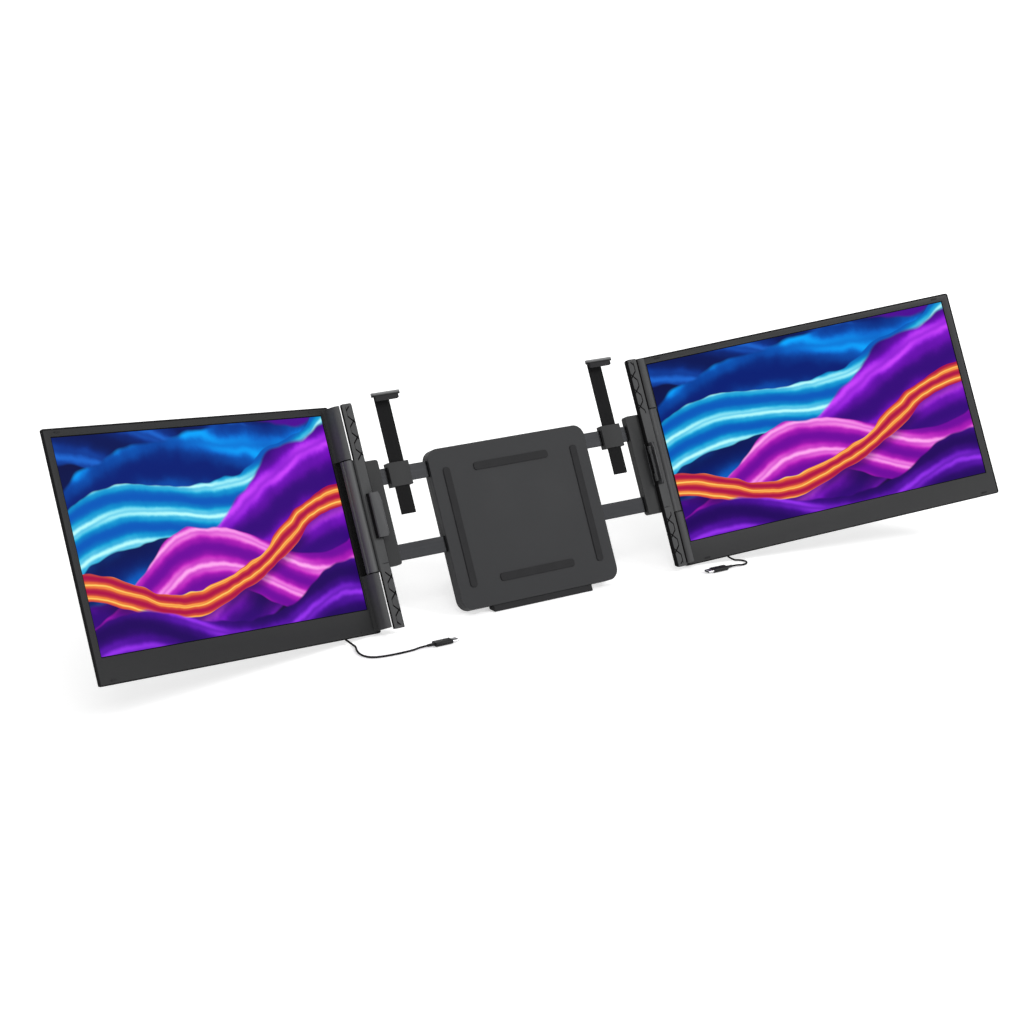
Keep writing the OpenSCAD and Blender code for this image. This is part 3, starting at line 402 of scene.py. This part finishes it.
def bezel_painted_shade(side):
    """Painted shade: near black on the bezel's outer edge and sides, the lip round the picture
    and the recess at the hinge.
    """
    hinge, outward, back = panels[side]
    outer_rim, top_rim, low_rim = 0.0016, 0.0015, 0.0010
    recess_end = hinge_to_picture + 0.0002
    fade = 0.0003

    def share(plastic):
        out = plastic.along(outward, hinge)
        high = plastic.along(lid_up, lid_corner)
        deep = plastic.along(back, hinge)
        behind = plastic.between(deep, bezel_face + fade / 2, bezel_face + fade)
        outer = plastic.between(out, panel_end - outer_rim - fade, panel_end - outer_rim)
        top = plastic.between(high, panel_h - top_rim - fade, panel_h - top_rim)
        low = plastic.between(high, low_rim + 0.0002, low_rim)
        recess = plastic.between(out, recess_end + 0.0002, recess_end)
        recess = recess * plastic.within(high, seam_low, seam_high, 0.0004)
        return plastic.sum("MINIMUM", behind + outer + top + low + recess, 1.0)

    return share


# the left bezel's colour is half the right's, as painted shade
bezel_colours_with_painted_shade = {"left": (0.0165, 0.0168, 0.0174), "right": (0.033, 0.0333, 0.034)}
for side in sides:
    ease(0.00025, f"{side}_monitor", "bezel", f"{side}_bezel")
    ease(0.0005, f"{side}_monitor", "cover", f"{side}_back_cover")
    face_black = moulded(f"{side}_bezel_black", bezel_colours_with_painted_shade[side], painted_shade=bezel_painted_shade(side))
    give(face_black, f"{side}_bezel")
give(
    moulded("cover_black", (0.026, 0.0265, 0.027), 0.52, 0.0005),
    *[f"{side}_back_cover" for side in sides],
)
give(
    moulded("button_black", (0.016, 0.016, 0.017), 0.4, 0.00025),
    *[f"{side}_{name}_button" for side in sides for name in ("power", "menu")],
)

# --- Screens --------------------------------------------------------------------------
# Each panel is a matte laptop display behind an antiglare film. It shows a plain test
# picture of coloured silk, the same on both, and is black along its rim.
picture_h = 0.1936
chin = 0.0239
hinge_to_glass = 0.0114
black_rim = 0.0011
fold_count = 6.5
strand_count = 31.0
far_blue = (0.001, 0.009, 0.11)
far_violet = (0.075, 0.001, 0.30)
shade_blue = (0.002, 0.001, 0.020)

# height, slope, swing, waves, start and half width in picture heights, then the colours of
# the hollows, of the crests and of the light along the crests
silks = (
    (
        1.02, -0.16, 0.09, 2.4, 1.4, 0.26,
        (0.001, 0.007, 0.090), (0.002, 0.045, 0.36), (0.01, 0.13, 0.62),
    ),
    (
        0.36, 0.25, 0.12, 2.7, 0.3, 0.36,
        (0.0, 0.012, 0.17), (0.0, 0.15, 0.74), (0.0, 0.38, 1.0),
    ),
    (
        0.44, 0.24, 0.10, 3.3, 0.9, 0.15,
        (0.0, 0.10, 0.50), (0.0, 0.66, 0.92), (0.52, 1.0, 1.0),
    ),
    (
        0.00, 0.30, 0.13, 2.5, 3.7, 0.32,
        (0.034, 0.0, 0.19), (0.30, 0.004, 0.82), (0.62, 0.06, 1.0),
    ),
    (
        0.12, 0.12, 0.15, 3.6, 5.1, 0.17,
        (0.16, 0.0, 0.34), (0.88, 0.02, 0.72), (1.0, 0.42, 0.90),
    ),
    (
        0.22, 0.13, 0.14, 3.2, 2.3, 0.06,
        (0.42, 0.004, 0.06), (1.0, 0.17, 0.01), (1.0, 0.66, 0.14),
    ),
    (
        -0.12, 0.05, 0.10, 4.2, 0.6, 0.21,
        (0.016, 0.0, 0.11), (0.11, 0.003, 0.48), (0.30, 0.03, 0.84),
    ),
)


def picture(side):
    hinge, outward, back = panels[side]
    across = back.cross(lid_up)
    corner = hinge + outward * hinge_to_picture + back * hinge_to_glass
    corner = corner + lid_up * (chin - half_column)
    if side == "left":
        corner = corner - across * picture_w
    glass = Finish(bpy.data.materials.new(f"{side}_display"))
    x = glass.along(across, corner) / picture_h
    y = glass.along(lid_up, corner) / picture_h
    flat = glass.node("CombineXYZ", {}, {0: x, 1: y})
    drift = glass.noise(1.7, 3.0, flat) - 0.5
    thread = glass.noise(7.0, 5.0, flat) - 0.5
    colour = glass.mix(glass.between(x + drift, 0.3, 1.6), far_blue, far_violet)
    for height, slope, swing, waves, start, width, hollow, crest, light in silks:
        line = height + slope * x + swing * glass.sum("SINE", x * waves + start) + drift * 0.22
        # how far from the ribbon's middle line, from -1 at its lower edge to 1 at its upper
        offset = (y - line) / width
        folds = offset * fold_count + x * (waves * 0.9) + drift * 7.0 + thread * 1.6
        strands = offset * strand_count + x * waves * 2.0 + drift * 22.0 + thread * 6.0
        fold, strand = [glass.sum("SINE", wave) * 0.5 + 0.5 for wave in (folds, strands)]
        cloth = glass.mix(fold**1.4 * (0.72 + strand * 0.28), hollow, crest)
        cloth = glass.mix(fold**7.0 * (0.35 + strand * 0.65), cloth, light)
        edge = glass.between(glass.sum("ABSOLUTE", offset), 1.0, 0.93)
        shade = glass.between(offset, -2.1, -0.9) * glass.between(offset, 1.0, 0.9)
        colour = glass.mix(shade * 0.55, colour, shade_blue)
        colour = glass.mix(edge, colour, cloth)
    film = glass.noise(9000.0)
    rim = black_rim / picture_h
    lit = glass.within(x, rim, picture_w / picture_h - rim, rim * 0.3)
    lit = lit * glass.within(y, rim, 1.0 - rim, rim * 0.3)
    glass.surface({
        "Base Color": glass.mix(film, (0.002, 0.002, 0.0025), (0.004, 0.004, 0.0045)),
        "Roughness": 0.42 + film * 0.06,
        "Specular IOR Level": 0.12,
        "IOR": 1.15,
        "Emission Color": glass.mix(lit, (0.0, 0.0, 0.0), colour),
        "Emission Strength": 1.0,
        "Normal": glass.bump(film, 0.08, 0.00002),
    })
    return glass


for side in sides:
    give(picture(side), f"{side}_screen")

# --- Hinges and columns ---------------------------------------------------------------
# The knuckles, the columns and their middle barrels are moulded in ABS and sprayed a satin
# grey from the front. Their grooves, chamfers, flanks and seams are coloured near black as
# painted shade, and the barrels and the left knuckle are lightened and darkened across their
# curves as painted light and painted shade.
column_face = 0.0019
column_in = 0.1667
column_outer = 0.1796
column_grey = (0.064, 0.065, 0.066)
knuckle_grey = (0.076, 0.077, 0.078)
# the crosses: middle line, reach inward and outward, rise, spacing and first middles
cross_x = 0.0028
cross_in = 0.0016
cross_out = 0.0052
cross_slope = 1.05
cross_pitch = 0.0164
cross_high = seam_high + 0.0043
cross_low = seam_low - 0.007
groove_half = 0.0008
groove_bottom = 0.003
groove_top = 0.2204
# a slanted groove's width, as a share of its height
across_slant = 0.69
# how wide a sharp edge of the painted shade is, and one at a seam
crisp = 0.0002
seam_fade = 0.0003
# pairs of places between which painted shade or painted light begins or, high before low, ends:
# behind the post's face, past its clip, before its outer edge, and to the side on barrel and
# knuckle
behind_face = (column_face + 0.00012, column_face + 0.0004)
past_clip = (column_in + 0.006, column_in + 0.007)
before_edge = (column_outer - 0.0028, column_outer - 0.0030)
barrel_start = (column_outer - 0.0002, column_outer + 0.0004)
left_ridge = (0.1830, 0.1850)
left_valley_end = (0.1838, 0.1815)
right_valley_start = (0.1785, 0.1792)
right_valley_end = (0.1840, 0.1815)
knuckle_turn = (0.1895, 0.1930)
sideways = Vector((1.0, 0.0, 0.0))


def sprayed(name, colour, painted_shade=None, roughness=0.5, gloss=0.2, painted_light_and_shade=None):
    """Satin paint. The third argument gives the share of painted shade, near black, at a place,
    and the last gives where the colour is lightened as painted light and darkened as painted
    shade."""
    paint = Finish(bpy.data.materials.new(name))
    cloud = paint.noise(30.0, 3.0)
    peel = paint.noise(1400.0, 3.0)
    wear = paint.between(paint.noise(14.0, 5.0), 0.60, 0.80)
    tone = paint.mix(cloud, [0.92 * c for c in colour], [1.07 * c for c in colour])
    tone = paint.mix(wear * 0.25, tone, [1.25 * c for c in colour])
    if painted_light_and_shade is not None:
        painted_light_share, painted_shade_share = painted_light_and_shade(paint)
        # painted light lightens the colour and painted shade darkens it, where the last argument
        # says
        tone = paint.mix(painted_light_share, tone, [1.75 * c for c in colour])
        tone = paint.mix(painted_shade_share, tone, [0.45 * c for c in colour])
    shine = roughness + (cloud - 0.5) * 0.08 + (peel - 0.5) * 0.06
    if painted_shade is not None:
        # near black as painted shade where the mask puts it
        share = painted_shade(paint)
        tone = paint.mix(share, tone, shade_black)
        shine = shine + share * 0.4
    paint.surface({
        "Base Color": tone,
        "Roughness": shine,
        "Specular IOR Level": gloss,
        "Normal": paint.bump(peel, 0.16, 0.00012),
    })
    return paint


def from_middle(paint):
    """How far a place lies to the side of the part's middle."""
    return paint.sum("ABSOLUTE", paint.along(sideways, Vector()))


def between_seams(paint):
    return paint.within(paint.along(lid_up, lid_corner), seam_low, seam_high, seam_fade)


def near_seams(paint, reach):
    """Within reach of the seams between the knuckles and the middle barrel."""
    high = paint.along(lid_up, lid_corner)
    gaps = [paint.sum("ABSOLUTE", high - seam) for seam in (seam_low, seam_high)]
    return paint.between(paint.sum("MINIMUM", gaps[0], gaps[1]), reach, reach * 0.7)


def crossed_grooves(paint, wide, rails):
    """Painted shade: near black in the grooves above and below the barrel. rails shows those that
    join the crosses.
    """
    high = paint.along(lid_up, lid_corner)
    off = wide - (column_in + cross_x)
    first_high = cross_high - cross_pitch / 2
    first_low = cross_low + cross_pitch / 2
    upper = paint.between(high, first_high, first_high + crisp)
    lower = paint.between(high, first_low, first_low - crisp)
    steps = (high - cross_high) * upper + (high - cross_low) * lower
    turn = paint.sum("PINGPONG", steps, cross_pitch / 2)
    slant = paint.sum("ABSOLUTE", turn - paint.sum("ABSOLUTE", off) * cross_slope)
    cross = paint.between(slant * across_slant, groove_half, groove_half * 0.7)
    cross = cross * paint.within(off, -cross_in, cross_out - crisp, crisp)
    from_rail = paint.sum("ABSOLUTE", off - cross_out + groove_half / 2)
    rail = paint.between(from_rail, groove_half * 0.8, groove_half * 0.5)
    rail = rail * paint.between(turn, cross_out * cross_slope - crisp, cross_out * cross_slope)
    ends = paint.within(high, groove_bottom, groove_top, crisp)
    return (cross + rail * rails) * (upper + lower) * ends


def column_painted_shade(paint, rails=0.0):
    """Painted shade: near black on the post's flanks and in its grooves, and at the barrel's ends
    by the seams. Without rails the deep places between the clip and the outer edge keep the grey
    paint."""
    wide = from_middle(paint)
    post = paint.between(wide, column_outer + crisp, column_outer)
    behind = paint.between(paint.along(lid_back, lid_corner), *behind_face)
    outer_part = paint.between(wide, *past_clip)
    painted = outer_part * paint.between(wide, *before_edge) * (1.0 - rails)
    behind = behind * (1.0 - between_seams(paint) * outer_part) * (1.0 - painted)
    grooves = crossed_grooves(paint, wide, rails)
    seams = near_seams(paint, 0.0005) * (1.0 - post)
    return paint.sum("MINIMUM", (behind + grooves) * post + seams, 1.0)


def railed_column_painted_shade(paint):
    return column_painted_shade(paint, 1.0)


def left_barrel_light_and_shade(paint):
    """Painted light over the left barrel's outer half, painted shade on the side towards the
    post.
    """
    wide = from_middle(paint)
    middle = between_seams(paint)
    outer_half = paint.between(wide, *left_ridge)
    inner_half = paint.between(wide, *left_valley_end) * paint.between(wide, *barrel_start)
    return outer_half * middle * 0.9, inner_half * middle * 0.6


def right_valley_light(paint):
    """Painted light in the valley between the right barrel and its post."""
    wide = from_middle(paint)
    valley = paint.between(wide, *right_valley_start) * paint.between(wide, *right_valley_end)
    return valley * between_seams(paint), 0.0


def knuckle_turn_shade(paint):
    """Painted shade where the knuckle turns down to the bezel."""
    return 0.0, paint.between(from_middle(paint), *knuckle_turn)


def knuckle_painted_shade(side):
    """Painted shade: near black on the knuckle's flank beside the column and at its ends by the
    seams.
    """
    start, full = (0.0026, 0.0038) if side == "left" else (0.0040, 0.0043)

    def share(paint):
        flank = paint.between(hinge_x - from_middle(paint), start, full)
        return paint.sum("MINIMUM", flank + near_seams(paint, 0.0009), 1.0)

    return share


for side in sides:
    ease(0.00025, f"{side}_monitor", "knuckle_cover", f"{side}_knuckles")
    ease(0.00025, f"{side}_arm", "column_grey", f"{side}_column")
    ease(0.0003, f"{side}_arm", "column_cover", f"{side}_column_back", f"{side}_hook_guide")
    ease(0.0003, f"{side}_arm", "slide_bar", f"{side}_slide_bars")

# painted shade where the left knuckle turns down; the right knuckle has none
knuckle_turn_shades = {"left": knuckle_turn_shade, "right": None}
for side in sides:
    paint = sprayed(
        f"{side}_knuckle_grey", knuckle_grey, knuckle_painted_shade(side), 0.7, 0.10, knuckle_turn_shades[side]
    )
    give(paint, f"{side}_knuckles")
# painted shade on each column, and painted light and painted shade across its barrel
column_shades_and_lights = {"left": (column_painted_shade, left_barrel_light_and_shade), "right": (railed_column_painted_shade, right_valley_light)}
for side in sides:
    painted_shade, painted_light_and_shade = column_shades_and_lights[side]
    give(sprayed(f"{side}_column_grey", column_grey, painted_shade, 0.6, 0.12, painted_light_and_shade), f"{side}_column")
give(
    moulded("column_cover_black", (0.026, 0.0265, 0.027)),
    *[f"{side}_{name}" for side in sides for name in ("column_back", "hook_guide")],
)


def steel(name, colour, roughness, brush=(900.0, 900.0, 14.0)):
    """Brushed metal, whose streaks run along the direction with the smallest scale."""
    metal = Finish(bpy.data.materials.new(name))
    stretched = metal.node("Mapping", {}, {"Vector": metal.place(), "Scale": brush})
    streak = metal.noise(1.0, 4.0, stretched)
    cloud = metal.noise(60.0, 3.0)
    metal.surface({
        "Base Color": metal.mix(cloud, [0.88 * c for c in colour], colour),
        "Metallic": 1.0,
        "Roughness": roughness + (streak - 0.5) * 0.18,
        "Normal": metal.bump(streak, 0.15, 0.00004),
    })
    return metal


give(
    steel("ground_steel", (0.58, 0.58, 0.59), 0.26),
    "kickstand_pin",
    *[f"{side}_{name}" for side in sides for name in ("hinge_shafts", "clip_pin")],
)
give(steel("leaf_steel", (0.42, 0.43, 0.44), 0.36), *[f"{side}_hinge_leaves" for side in sides])
give(
    steel("slide_bar_anodised", (0.022, 0.0225, 0.024), 0.42, (14.0, 900.0, 900.0)),
    *[f"{side}_slide_bars" for side in sides],
)
give(
    steel("screw_steel", (0.12, 0.12, 0.125), 0.34, (500.0, 500.0, 500.0)),
    "bracket_screws",
    *[f"{side}_{name}" for side in sides for name in ("cover_screws", "column_screws")],
)
give(steel("port_shell", (0.62, 0.62, 0.63), 0.30), *[f"{side}_ports" for side in sides])

# --- Side clips -----------------------------------------------------------------------
# A folded plate of dark anodised aluminium turns on a steel pin in each column's edge; the
# left one is shut and the right one stands open. Their rubber is that of all pads and feet.
clip_front = -0.0036
clip_thick = 0.0011
clip_grey = (0.050, 0.051, 0.053)


def clip_flank_shade(paint):
    """Painted shade: near black on the shut clip's edge, behind the front of its plate."""
    deep = paint.along(lid_back, lid_corner)
    return paint.between(deep, clip_front + clip_thick, clip_front + clip_thick + 0.0003)


for side in sides:
    ease(0.0003, f"{side}_side_clip", "clip_plate", f"{side}_clip")
give(sprayed("left_clip_grey", clip_grey, clip_flank_shade, 0.42), "left_clip")
give(sprayed("right_clip_grey", clip_grey, None, 0.42), "right_clip")

rubber = Finish(bpy.data.materials.new("grip_rubber"))
rubber_cloud = rubber.noise(70.0, 3.0)
rubber_fine = rubber.noise(2200.0)
rubber.surface({
    "Base Color": rubber.mix(rubber_cloud, (0.0104, 0.0104, 0.0112), (0.0169, 0.0169, 0.0182)),
    "Roughness": 0.78 + (rubber_fine - 0.5) * 0.16,
    "Specular IOR Level": 0.25,
    "Normal": rubber.bump(rubber_fine, 0.35, 0.0001),
})
ease(0.0004, "bracket", "grip_rubber", "lid_pads")
ease(0.0004, "bracket", "foot_rubber", "desk_foot")
give(
    rubber,
    "lid_pads",
    "desk_foot",
    "kickstand_foot",
    *[f"{side}_{name}" for side in sides for name in ("clip_pad", "hook_pad", "bumpers")],
)

# --- Top hooks ------------------------------------------------------------------------
# A hook rises out of each column's arm and holds the lid's top edge. Its bar is sprayed light
# grey, darkening to black towards its underside and stem as painted shade, and its lip wears a
# black rubber boot.
lid_top = 0.2252
bar_thick = 0.0036


def hook_painted_shade(paint):
    """Painted shade: the hook darkens from the top of its bar to black at its underside and stem.
    """
    return paint.between(paint.along(lid_up, lid_corner), lid_top + bar_thick, lid_top)


hook_grey = (0.25, 0.252, 0.255)
for side in sides:
    ease(0.0003, f"{side}_hook", "hook_grey", f"{side}_top_hook")
give(sprayed("hook_grey", hook_grey, hook_painted_shade), *[f"{side}_top_hook" for side in sides])

# --- Centre bracket -------------------------------------------------------------------
# Two moulded shells hold nylon rails that the arms slide in. A kickstand of dark anodised
# aluminium folds out of the back.
ease(0.0004, "bracket", "bracket_shell", "bracket_front", "bracket_back")
ease(0.0003, "stand", "stand_plate", "kickstand")
give(moulded("bracket_black", (0.026, 0.0265, 0.028)), "bracket_front", "bracket_back")
give(sprayed("stand_grey", (0.046, 0.047, 0.050), None, 0.4), "kickstand")
give(moulded("rail_nylon", (0.58, 0.56, 0.51), 0.5, 0.0006), "bracket_rails")
give(
    moulded("solder_mask", (0.010, 0.085, 0.030), 0.35, 0.0009),
    *[f"{side}_driver_board" for side in sides],
)

# --- Plugs ----------------------------------------------------------------------------
# Each lead's plugs are moulded in black TPE on plated steel tongues. The laptop's plug has
# rounded flanks, a stepped sleeve against sharp bends and a folded steel shell at its tip.
plug_ends = {"left": Vector((-0.1635, -0.053, 0.0021)), "right": Vector((0.217, -0.0235, 0.0021))}
plug_length = 0.019
plug_width = 0.0094
plug_height = 0.0042
flank_round = 0.0018
end_round = 0.0005
tongue_length = 0.0065
tongue_width = 0.0082
tongue_height = 0.0024
tongue_round = 0.00115
tongue_wall = 0.0003
mouth_depth = tongue_length - 0.001
# how far the sleeve starts inside the grip, its radius there, and how far back each
# further ring lies, with its radius
sleeve_start = 0.0006
sleeve_radius = 0.0016
sleeve_rings = (
    (0.0012, 0.0016), (0.0016, 0.00148), (0.0068, 0.00144), (0.0076, 0.0013), (0.008, 0.0011),
)


def plug_axis(side):
    """The way the plug points."""
    return Vector((1.0 if side == "left" else -1.0, 0.0, 0.0))


def box_piece(middle, size):
    bpy.ops.object.select_all(action="DESELECT")
    bpy.ops.mesh.primitive_cube_add(size=1.0, location=middle)
    piece = bpy.context.object
    piece.scale = size
    bpy.ops.object.transform_apply(location=True, rotation=True, scale=True)
    return piece


def pick(piece, parts, wanted):
    """Selects the edges or polygons that pass the test, and goes into edit mode."""
    bpy.ops.object.mode_set(mode="EDIT")
    bpy.ops.mesh.select_mode(type="EDGE" if parts == "edges" else "FACE")
    bpy.ops.mesh.select_all(action="DESELECT")
    bpy.ops.object.mode_set(mode="OBJECT")
    points = piece.data.vertices
    for part in getattr(piece.data, parts):
        across = [points[i].co.x for i in part.vertices]
        part.select = wanted(min(across), max(across))
    bpy.ops.object.mode_set(mode="EDIT")


def plug_form(side):
    """The moulded grip, the steel shell with its open mouth, and the sleeve, as one mesh."""
    axis = plug_axis(side)
    end = plug_ends[side]
    same = 1e-6
    grip = box_piece(end + axis * plug_length / 2, (plug_length, plug_width, plug_height))
    pick(grip, "edges", lambda low, high: high - low > plug_length / 2)
    bpy.ops.mesh.bevel(offset=flank_round, segments=6)
    pick(grip, "edges", lambda low, high: high - low < same)
    bpy.ops.mesh.bevel(offset=end_round, segments=2)
    bpy.ops.object.mode_set(mode="OBJECT")

    tongue_middle = end + axis * (plug_length + tongue_length / 2)
    tongue = box_piece(tongue_middle, (tongue_length, tongue_width, tongue_height))
    pick(tongue, "edges", lambda low, high: high - low > tongue_length / 2)
    bpy.ops.mesh.bevel(offset=tongue_round, segments=5)
    tip = (end + axis * (plug_length + tongue_length)).x
    pick(tongue, "polygons", lambda low, high: abs(low - tip) < same and abs(high - tip) < same)
    bpy.ops.mesh.inset(thickness=tongue_wall)
    bpy.ops.mesh.extrude_region_move(TRANSFORM_OT_translate={"value": -axis * mouth_depth})
    bpy.ops.object.mode_set(mode="OBJECT")

    bpy.ops.object.select_all(action="DESELECT")
    radius = sleeve_radius
    reach = -sleeve_start
    bpy.ops.mesh.primitive_circle_add(
        vertices=28, radius=radius, fill_type="NGON",
        location=end - axis * reach, rotation=(0.0, math.pi / 2, 0.0),
    )
    sleeve = bpy.context.object
    bpy.ops.object.transform_apply(location=True, rotation=True, scale=True)
    bpy.ops.object.mode_set(mode="EDIT")
    bpy.ops.mesh.select_all(action="SELECT")
    for back, wide in sleeve_rings:
        step = {"value": -axis * (back - reach)}
        bpy.ops.mesh.extrude_region_move(TRANSFORM_OT_translate=step)
        bpy.ops.transform.resize(value=(1.0, wide / radius, wide / radius), center_override=end)
        reach, radius = back, wide
    bpy.ops.mesh.select_all(action="SELECT")
    bpy.ops.mesh.normals_make_consistent(inside=False)
    bpy.ops.object.mode_set(mode="OBJECT")

    bpy.ops.object.select_all(action="DESELECT")
    for part in (tongue, sleeve, grip):
        part.select_set(True)
    bpy.context.view_layer.objects.active = grip
    bpy.ops.object.join()
    bpy.ops.object.shade_smooth_by_angle(angle=math.radians(35.0))
    grip.name = f"{side}_lead_plug"
    return grip


def plug_finish(side):
    """Black TPE, and bright steel on the tongue."""
    rubbery = Finish(bpy.data.materials.new(f"{side}_lead_plug"))
    cloud = rubbery.noise(60.0, 3.0)
    fine = rubbery.noise(3200.0)
    reach = rubbery.along(plug_axis(side), plug_ends[side])
    steel_part = rubbery.between(reach, plug_length + 0.00002, plug_length + 0.00006)
    black = rubbery.mix(cloud, (0.005, 0.005, 0.0055), (0.011, 0.011, 0.0115))
    rubbery.surface({
        "Base Color": rubbery.mix(steel_part, black, (0.55, 0.55, 0.56)),
        "Metallic": steel_part,
        "Roughness": 0.5 + (cloud - 0.5) * 0.12 - steel_part * 0.2,
        "Specular IOR Level": 0.2,
        "Normal": rubbery.bump(fine, 0.2, 0.00008),
    })
    return rubbery


give(
    moulded("plug_black", (0.008, 0.008, 0.0085), 0.5, 0.0003),
    *[f"{side}_monitor_plug" for side in sides],
)
for side in sides:
    plug = plug_form(side)
    plug.data.materials.clear()
    plug.data.materials.append(plug_finish(side).owner)
    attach(plug, f"{side}_arm")
    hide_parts(f"{side}_laptop_plug")
    lead, line = cords[side]
    length = sum((b - a).length for a, b in zip(line, line[1:]))
